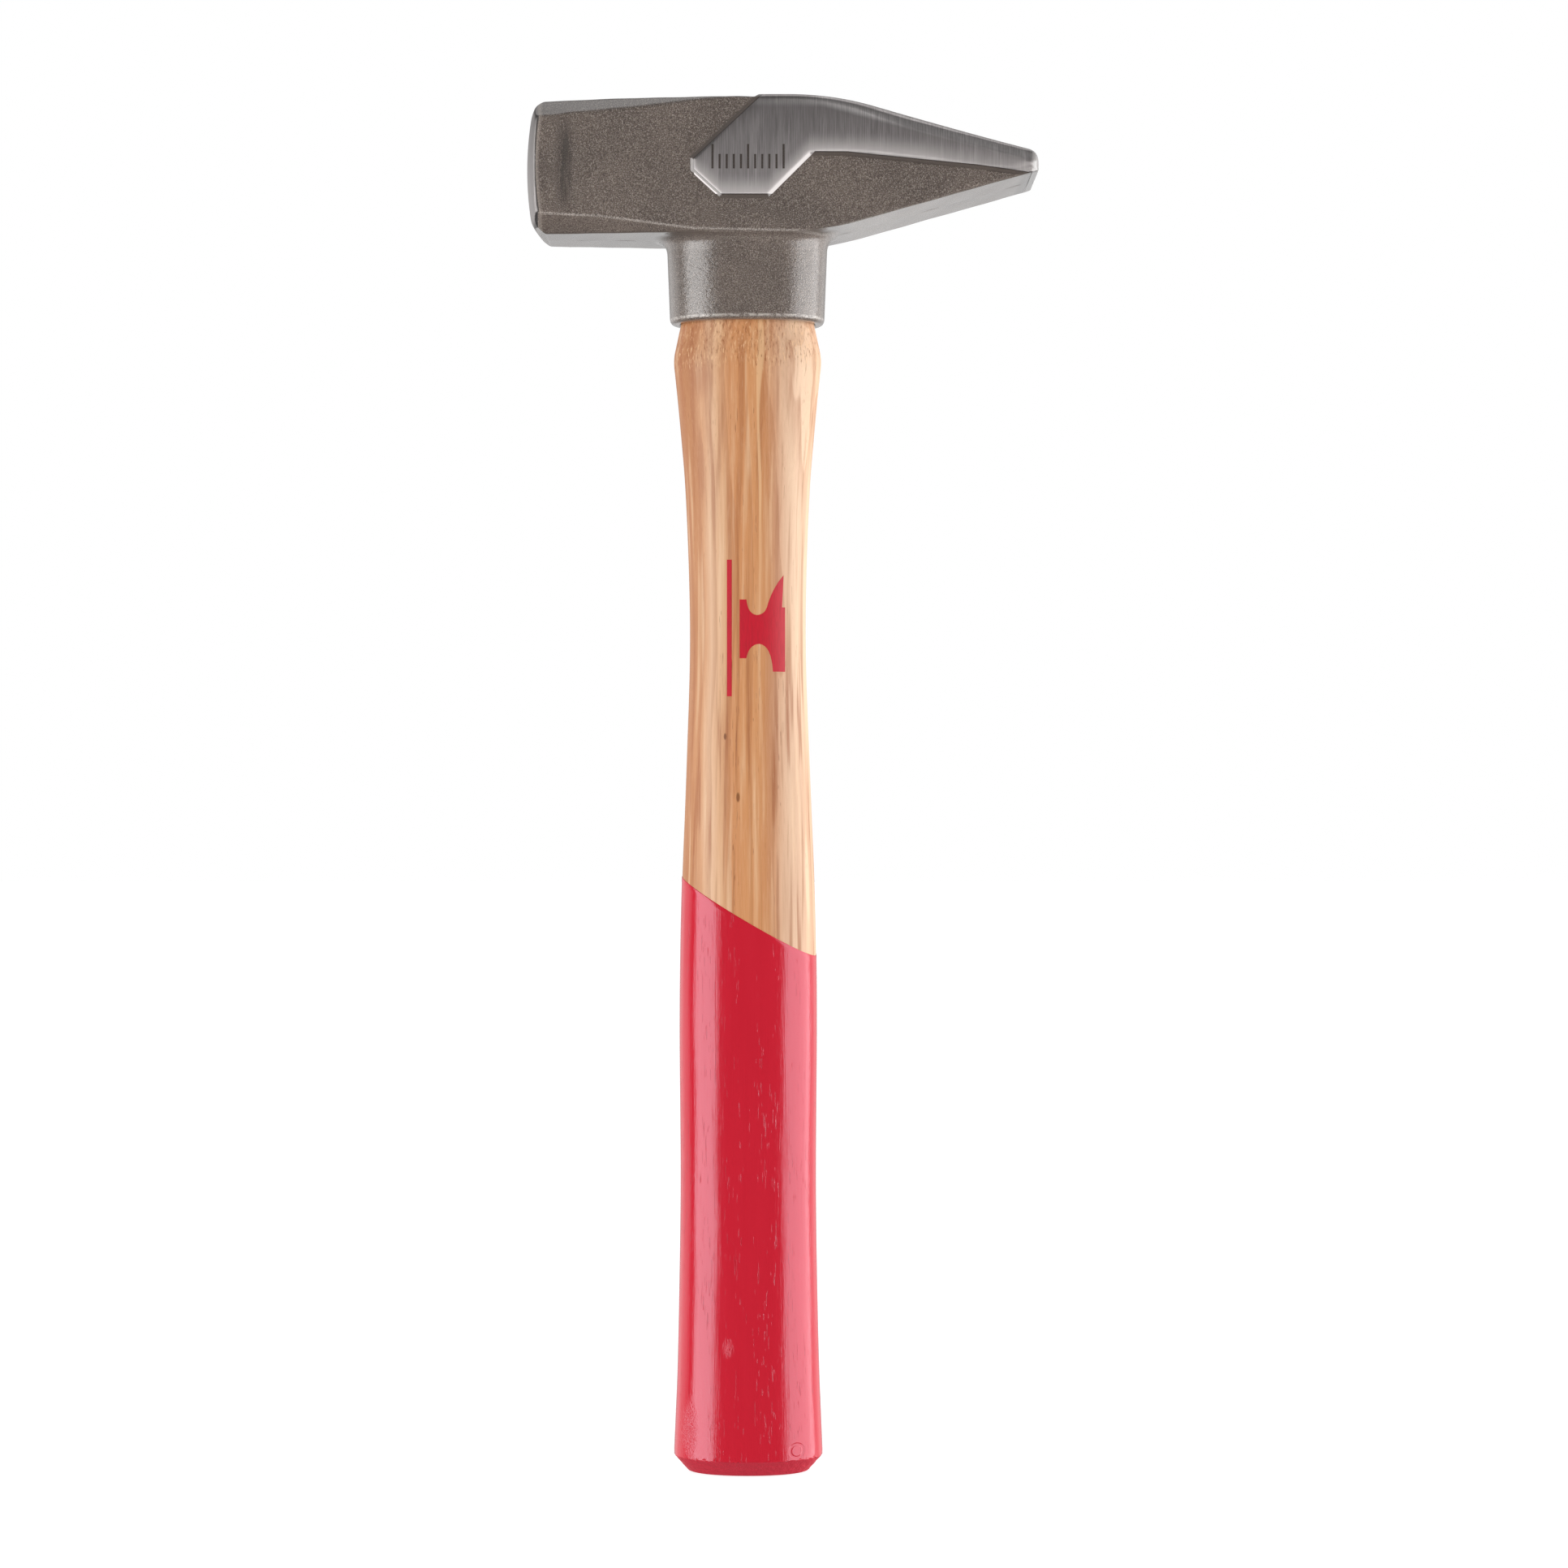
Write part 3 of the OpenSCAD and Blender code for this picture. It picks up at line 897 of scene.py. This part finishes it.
def steel_material():
    """Lacquered forging with belt-ground steel where it is bare."""
    material, tree, mm = new_material("forged steel")
    shaders = {0: ground_mask(mm), 1: lacquered_forging(tree, mm), 2: ground_steel(tree, mm)}
    node(tree, "OutputMaterial", {0: Pattern(node(tree, "MixShader", shaders))})
    return material


# ---- The handle's and the lacquer's materials ----


def pores(mm, least, most):
    """Short dashes along the grain, 1 inside a pore. Fewer noise peaks pass a higher limit."""
    speck = noise(mm, (3.4, 3.4, 0.2), 1.0)
    crowding = noise(mm, (0.4, 0.4, 0.02), 1.0)
    return (speck - crowding.remap(0.38, 0.62, most, least)).remap(0.0, 0.04)


SPOT_Y = -12  # middle of the spots on the front
SPOT_DEPTH = 14  # and how far they reach from it


def off_spot(mm, place, size):
    """Distance from the middle of an oval spot on the front, 1 at its edge, in X and Z."""
    shifted = mm.vector("SUBTRACT", (place[0], SPOT_Y, place[1]))
    return shifted.vector("MULTIPLY", (1 / size[0], 1 / SPOT_DEPTH, 1 / size[1])).length()


def spot(mm, place, size, softness=0.5):
    """1 in the middle of an oval spot on the front, fading to 0 at its edge."""
    return off_spot(mm, place, size).remap(1.0, 1.0 - softness)


# Tone across the width of the handle, from the striking-face side to the pein side: the wood's own tones,
# with pale bands of painted highlight on the striking-face side and towards the pein side
WOOD_TONES_AND_SHEEN = (
    (0.00, srgb(176, 118, 76)),
    (0.12, srgb(188, 130, 88)),
    (0.19, srgb(208, 152, 110)),
    (0.25, srgb(226, 184, 148)),
    (0.33, srgb(220, 170, 128)),
    (0.41, srgb(208, 144, 96)),
    (0.52, srgb(214, 152, 102)),
    (0.63, srgb(208, 146, 98)),
    (0.72, srgb(212, 164, 130)),
    (0.81, srgb(228, 192, 160)),
    (0.88, srgb(236, 200, 168)),
    (1.00, srgb(228, 188, 154)),
)
TONES_END = 19.0  # the tones run between this far on either side of the axis
PITH = (46.0, 30.0)  # how far the growth rings' centre lies from the axis, outside the handle
RING_WIDTH = 4.2
# Pin knots in the wood: (place, size) in X and Z
KNOTS = (((-2.6, 179), (0.6, 1.6)), ((-6.0, 195), (0.5, 1.1)), ((-4.4, 214), (0.35, 2.2)))


def wood_material():
    material, tree, mm = new_material("hickory")
    x, y, z = mm.axes()
    sway = noise(mm, (0.02, 0.02, 0.012), 2.0)
    waver = noise(mm, (0.3, 0.3, 0.03), 0.0)
    across = x + (sway - 0.5) * 7.0 + (waver - 0.5) * 2.0
    # The wood's tones across the width, with painted highlights in two pale bands
    tone = ramp(across.remap(-TONES_END, TONES_END, easing="LINEAR"), WOOD_TONES_AND_SHEEN)

    # Growth rings: shells round a pith well outside the handle
    from_pith = across.feed("CombineXYZ", {0: across + PITH[0], 1: y - PITH[1]})
    uneven = noise(mm, (0.12, 0.12, 0.004), 1.0)
    ring = (from_pith.length() / RING_WIDTH + uneven * 1.6).fraction()
    late_wood = ring.remap(0.45, 0.95) * ring.remap(1.0, 0.96)
    tone = mix(late_wood * 0.35, tone, srgb(170, 104, 64))

    # Long soft streaks, darker further down the handle, then single fibres
    streak = noise(mm, (0.6, 0.6, 0.012), 2.0)
    fibre = noise(mm, (7.0, 7.0, 0.12), 3.0, 0.6)
    darkness = z.remap(235.0, 195.0, 0.5, 0.85)
    tone = mix(streak.remap(0.5, 0.3) * darkness, tone, srgb(166, 102, 64))
    tone = mix(streak.remap(0.52, 0.75, 0.0, 0.5), tone, srgb(240, 205, 168))
    tone = mix(fibre.remap(0.5, 0.75, 0.0, 0.16), tone, srgb(244, 212, 176))
    tone = mix(fibre.remap(0.5, 0.25, 0.0, 0.2), tone, srgb(170, 106, 64))

    # A pale vein that wanders down from the collar, a stained shoulder and the pin knots
    off_vein = abs(x - ((waver - 0.5) * 3.5 + 3.2))
    vein = off_vein.remap(0.55, 0.2) * z.remap(225.0, 262.0) * y.below(0.0)
    tone = mix(vein * 0.6, tone, srgb(238, 196, 150))
    tone = mix(spot(mm, (-12.5, 290), (5, 8), 0.9) * 0.4, tone, srgb(158, 92, 56))
    for place, size in KNOTS:
        tone = mix(spot(mm, place, size) * 0.75, tone, srgb(112, 62, 34))

    pore = pores(mm, 0.66, 0.76) * ring.remap(0.55, 0.15, 0.25, 1.0)
    tone = mix(pore * 0.5, tone, srgb(138, 78, 44))

    # The taper under the collar is cut across the fibres and left rougher
    ragged = noise(mm, (0.35, 0.35, 0.02), 2.0, 0.6) * 12.0
    sawn = (z + ragged).remap(SHOULDER + 1, SHOULDER + 6)
    dash = noise(mm, (2.4, 2.4, 0.45), 2.0, 0.6)
    tone = mix(sawn * dash.remap(0.56, 0.7, 0.0, 0.7), tone, srgb(238, 196, 152))
    tone = mix(sawn * dash.remap(0.44, 0.3, 0.0, 0.7), tone, srgb(150, 88, 50))
    relief = fibre * 0.3 - pore + sawn * dash * 2.5
    shader = principled(
        tree,
        Base_Color=tone,
        Roughness=fibre.remap(0.3, 0.7, 0.42, 0.54),
        Specular_IOR_Level=0.32,
        Normal=bump(relief, 0.06, 0.6),
    )
    node(tree, "OutputMaterial", {0: shader})
    return material


def lacquer_material():
    material, tree, mm = new_material("red lacquer")
    z = mm.axes()[2]
    fibre = noise(mm, (2.6, 2.6, 0.06), 3.0, 0.6)
    swell = noise(mm, (0.3, 0.3, 0.03), 1.0)
    pore = pores(mm, 0.65, 0.78)
    # Puckered film in two places, and the rim of a burst bubble near the butt
    pucker = noise(mm, (1.7, 1.7, 1.0), 3.0, 0.7) - 0.5
    puckered = spot(mm, (-16, 12), (4, 12), 0.9).at_least(spot(mm, (-5, 34), (2.4, 4), 0.9))
    bubble = abs(off_spot(mm, (12.9, 6.8), (1.75, 1.75)) - 1.0).remap(0.3, 0.1, 0.0, 2.0)
    # The bevel round the butt is grainy
    on_bevel = z.remap(BUTT_TOP + 0.1, BUTT_TOP - 0.4)
    graininess = noise(mm, 1.3, 4.0, 0.65) * 5.0
    relief = fibre * 0.8 + swell * 0.8 - pore * 1.4
    relief = relief + (pucker * (puckered * 8.0) - bubble + on_bevel * graininess)
    red = mix(swell, srgb(204, 33, 51), srgb(197, 28, 46))
    red = mix(pore * 0.35, red, srgb(160, 20, 34))
    red = mix(on_bevel * 0.5, red, srgb(222, 64, 82))
    shader = principled(
        tree,
        Base_Color=red,
        Roughness=on_bevel.remap(0.0, 1.0, 0.12, 0.4),
        IOR=1.56,
        Specular_Tint=(0.86, 0.8, 0.94, 1),
        Normal=bump(relief, 0.06, 0.7),
    )
    node(tree, "OutputMaterial", {0: shader})
    return material


def simple_material(name, scale, tones, roughness, relief, limits=(0.3, 0.7), **sockets):
    """One noise drives the tone and the relief, and the gloss too where roughness is a pair."""
    material, tree, mm = new_material(name)
    pattern = noise(mm, scale, 3.0, 0.6)
    if isinstance(roughness, tuple):
        roughness = pattern.remap(0.3, 0.7, *roughness)
    tone = mix(pattern.remap(*limits), *tones)
    normal = bump(pattern, *relief)
    shader = principled(tree, Base_Color=tone, Roughness=roughness, Normal=normal, **sockets)
    node(tree, "OutputMaterial", {0: shader})
    return material


# ---- Plain marks in place of the printed and etched ones ----


def bend(a, b, c, steps=8):
    """Points along a quadratic curve from a to c, pulled towards b, without its last point."""
    a, b, c = (np.array(p, dtype=float) for p in (a, b, c))
    return [tuple((1 - t) ** 2 * a + 2 * t * (1 - t) * b + t * t * c) for t in np.arange(steps) / steps]


# An anvil from the side, 26 long and 12 tall, with its foot on the axis
ANVIL = [
    (-7.5, 0),
    *bend((-7.5, 1.8), (-3.6, 2.2), (-3.4, 4.6)),
    *bend((-3.4, 4.6), (-3.6, 6.6), (-5.5, 7.2)),
    *bend((-5.5, 7.2), (-10.5, 8.6), (-14, 11.6)),
    (-14, 11.6),
    (-5.5, 11.2),
    (-5.5, 12),
    (11.5, 12),
    *bend((11.5, 8.8), (4.6, 8.4), (4.2, 5.2)),
    *bend((4.2, 5.2), (4.4, 2.4), (8, 1.8)),
    (8, 1.8),
    (8, 0),
]
ANVIL_DROP = 3.5  # how far its foot is below the middle of the mark
ANVIL_PLACE = (1.3, 223.6)  # middle of the mark in X and Z
RULE = (0, -6.2, 36, 1.3)  # a bar under it: middle, length and width

TICKS = 11
TICK_START = (-9.2, 343.4)  # foot of the first tick in X and Z
TICK_STEP = 1.86
TICK_WIDTH = 0.55
TICK_HEIGHTS = (3.8, 6.4)  # of most ticks, and of every fifth

MARK_PROUD = 0.03  # a mark's plate stands this far out of the surface
MARK_SUNK = 0.05  # and reaches this far in
MARK_EDGE = 1.0  # longest edge of its triangles, so that it follows a curved surface


def make_mark(name, outlines, place, material):
    """Thin plates from flat outlines. place turns their points into points on the surface."""
    bm = bmesh.new()
    for outline in outlines:
        bm.faces.new([bm.verts.new((u, v, 0)) for u, v in outline])
    bmesh.ops.triangulate(bm, faces=bm.faces[:])
    for _ in range(6):
        edges = [e for e in bm.edges if e.calc_length() > MARK_EDGE]
        if not edges:
            break
        bmesh.ops.subdivide_edges(bm, edges=edges, cuts=1)
        bmesh.ops.triangulate(bm, faces=[f for f in bm.faces if len(f.verts) > 3])
    bm.verts.index_update()
    flat = np.array([v.co[:2] for v in bm.verts])
    front = [[v.index for v in f.verts] for f in bm.faces]
    bm.free()
    count = len(flat)
    back = [[count + i for i in reversed(f)] for f in front]
    edges = {(a, b) for f in front for a, b in zip(f, f[1:] + f[:1])}
    rim = [[b, a, count + a, count + b] for a, b in sorted(edges) if (b, a) not in edges]
    points = np.concatenate([place(flat, MARK_PROUD), place(flat, -MARK_SUNK)])
    obj = make_object(name, points, front + back + rim, material)
    mark_sharp(obj, 40)
    return obj


def on_handle_front(centre_x, centre_z):
    """Lays a mark on the handle's front, turned a quarter so that it reads down the handle."""

    def place(flat, proud):
        x = centre_x + flat[:, 1]
        z = centre_z - flat[:, 0]
        half_x, half_y = wood_halves(z)
        y = -half_y * (1 - np.abs((x - lean(z)) / half_x) ** HANDLE_POWER) ** (1 / HANDLE_POWER)
        return np.stack([x, y - proud, z], axis=1)

    return place


def on_land(flat, proud):
    """Lays a mark on the front land."""
    start = np.stack([flat[:, 0], np.full(len(flat), -CHEEK - LAND), flat[:, 1]], axis=1)
    return settle(head, start, 3, 0.5) - [0, proud, 0]


def bar(u, v, length, width):
    """A rectangle round a middle."""
    return [(u + a * length / 2, v + b * width / 2) for a, b in ((-1, -1), (1, -1), (1, 1), (-1, 1))]


def make_marks():
    red = simple_material(
        "print red",
        scale=(4.0, 4.0, 0.3),
        tones=(srgb(200, 30, 50), srgb(184, 30, 46)),
        limits=(0.4, 0.7),
        roughness=(0.38, 0.5),
        relief=(0.02, 0.5),
        Specular_IOR_Level=0.32,
    )
    etched = simple_material(
        "etched steel",
        scale=3.0,
        tones=(srgb(58, 50, 46), srgb(76, 68, 63)),
        roughness=0.7,
        relief=(0.05, 0.6),
        Metallic=0.2,
    )
    anvil = [(u, v - ANVIL_DROP) for u, v in ANVIL]
    make_mark("anvil_mark", [anvil, bar(*RULE)], on_handle_front(*ANVIL_PLACE), red)
    ticks = []
    for index in range(TICKS):
        height = TICK_HEIGHTS[index % 5 == 0]
        u = TICK_START[0] + TICK_STEP * index
        ticks.append(bar(u, TICK_START[1] + height / 2, TICK_WIDTH, height))
    make_mark("gauge_ticks", ticks, on_land, etched)


# ---- The hammer ----


def finish_cad_node(name, material):
    """A CAD node whose shape is right keeps it, with a better material."""
    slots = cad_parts[name].data.materials
    slots.clear()
    slots.append(material)


make_head(steel_material())
make_handle(wood_material())
make_coat(lacquer_material())
make_marks()
finish_cad_node(
    "wood_wedge",
    simple_material(
        "wedge wood",
        scale=(0.4, 5.0, 5.0),
        tones=(srgb(150, 104, 66), srgb(206, 160, 112)),
        roughness=0.6,
        relief=(0.1, 0.6),
    ),
)
finish_cad_node(
    "ring_wedge",
    simple_material(
        "bright steel",
        scale=(3.0, 3.0, 0.4),
        tones=(srgb(150, 150, 150), srgb(196, 194, 190)),
        roughness=(0.25, 0.4),
        relief=(0.03, 0.5),
        Metallic=1.0,
    ),
)

# ---- Stage, lights and camera ----

scene = bpy.context.scene
scene.view_settings.view_transform = "Standard"

FLOOR_HALF = 6.0
FLOOR_HEIGHT = -0.0003  # just under the butt
SOFTBOX_DISTANCE = 1.1
SOFTBOX_LOW = -0.55
SOFTBOX_HIGH = 0.6
CAMERA_PLACE = (0.0095, -1.0, 0.1825)
CAMERA_LENS = 86.2


def make_floor():
    """A pale floor that brightens to white away from the hammer, and doesn't light it."""
    mesh = bpy.data.meshes.new("floor")
    corners = ((-1, -1), (1, -1), (1, 1), (-1, 1))
    points = [(FLOOR_HALF * x, FLOOR_HALF * y, FLOOR_HEIGHT) for x, y in corners]
    mesh.from_pydata(points, [], [(0, 1, 2, 3)])
    material, tree, mm = new_material("pale floor")
    matt = Pattern(node(tree, "BsdfDiffuse", {"Color": (0.5, 0.5, 0.5, 1)}))
    # The floor glows, and its glow is dimmer near the hammer: a painted shade round it
    brightness = mm.length().remap(100.0, 600.0, 0.85, 1.0)
    glow = Pattern(node(tree, "Emission", {"Color": (1, 1, 1, 1), "Strength": brightness}))
    node(tree, "OutputMaterial", {0: Pattern(node(tree, "AddShader", {0: matt, 1: glow}))})
    mesh.materials.append(material)
    floor = bpy.data.objects.new("floor", mesh)
    scene.collection.objects.link(floor)
    floor.visible_glossy = False
    floor.visible_diffuse = False
    floor.visible_shadow = False


def make_light(name, place, turn, size, radiance):
    """A soft rectangular light that the camera doesn't see. Its brightness is relative to white."""
    light = bpy.data.lights.new(name, "AREA")
    light.shape = "RECTANGLE"
    light.size, light.size_y = size
    light.energy = radiance * math.pi * size[0] * size[1]
    obj = bpy.data.objects.new(name, light)
    obj.location = place
    obj.rotation_euler = turn
    obj.visible_camera = False
    scene.collection.objects.link(obj)


def make_softbox(name, azimuth, half_angle, radiance):
    """A tall soft light facing the hammer, its azimuth counted from the camera towards the pein."""
    turn = math.radians(azimuth)
    middle = (SOFTBOX_LOW + SOFTBOX_HIGH) / 2
    place = (SOFTBOX_DISTANCE * math.sin(turn), -SOFTBOX_DISTANCE * math.cos(turn), middle)
    width = 2 * SOFTBOX_DISTANCE * math.tan(math.radians(half_angle))
    size = (width, SOFTBOX_HIGH - SOFTBOX_LOW)
    make_light(name, place, (math.pi / 2, 0, turn), size, radiance)


def make_world():
    """White behind the hammer and dark on the camera's side. The camera itself sees plain white."""
    world = bpy.data.worlds.new("studio")
    world.use_nodes = True
    scene.world = world
    tree = world.node_tree
    tree.nodes.clear()
    _, y, z = Pattern(node(tree, "TexCoord"), "Generated").axes()
    wrap = y.remap(0.06, 0.2) * y.remap(0.92, 0.8, 0.3, 1.0) * abs(z).remap(0.55, 0.3)
    below = y.remap(0.85, 0.95) * z.remap(0.05, -0.05)
    above = y.remap(0.2, 0.4, 0.1, 0.26) * z.remap(0.3, 0.5)
    strength = wrap * 1.1 + below * 0.27 + above + 0.12
    seen = Pattern(node(tree, "LightPath"), "Is Camera Ray")
    strength = seen.feed("Mix", {0: seen, 2: strength, 3: 1.0}, data_type="FLOAT")
    background = Pattern(node(tree, "Background", {"Color": (1, 1, 1, 1), "Strength": strength}))
    node(tree, "OutputWorld", {0: background})


def make_camera():
    data = bpy.data.cameras.new("camera")
    data.sensor_width = 36.0
    data.lens = CAMERA_LENS
    camera = bpy.data.objects.new("camera", data)
    camera.location = CAMERA_PLACE
    camera.rotation_euler = (math.pi / 2, 0, 0)
    scene.collection.objects.link(camera)
    scene.camera = camera


make_floor()
make_softbox("softbox left", -59, 21, 5.0)
make_softbox("softbox right", 76, 32, 4.2)
make_light("top light", (0, 0.1, 1.5), (0, 0, 0), (0.9, 0.9), 1.2)
make_world()
make_camera()
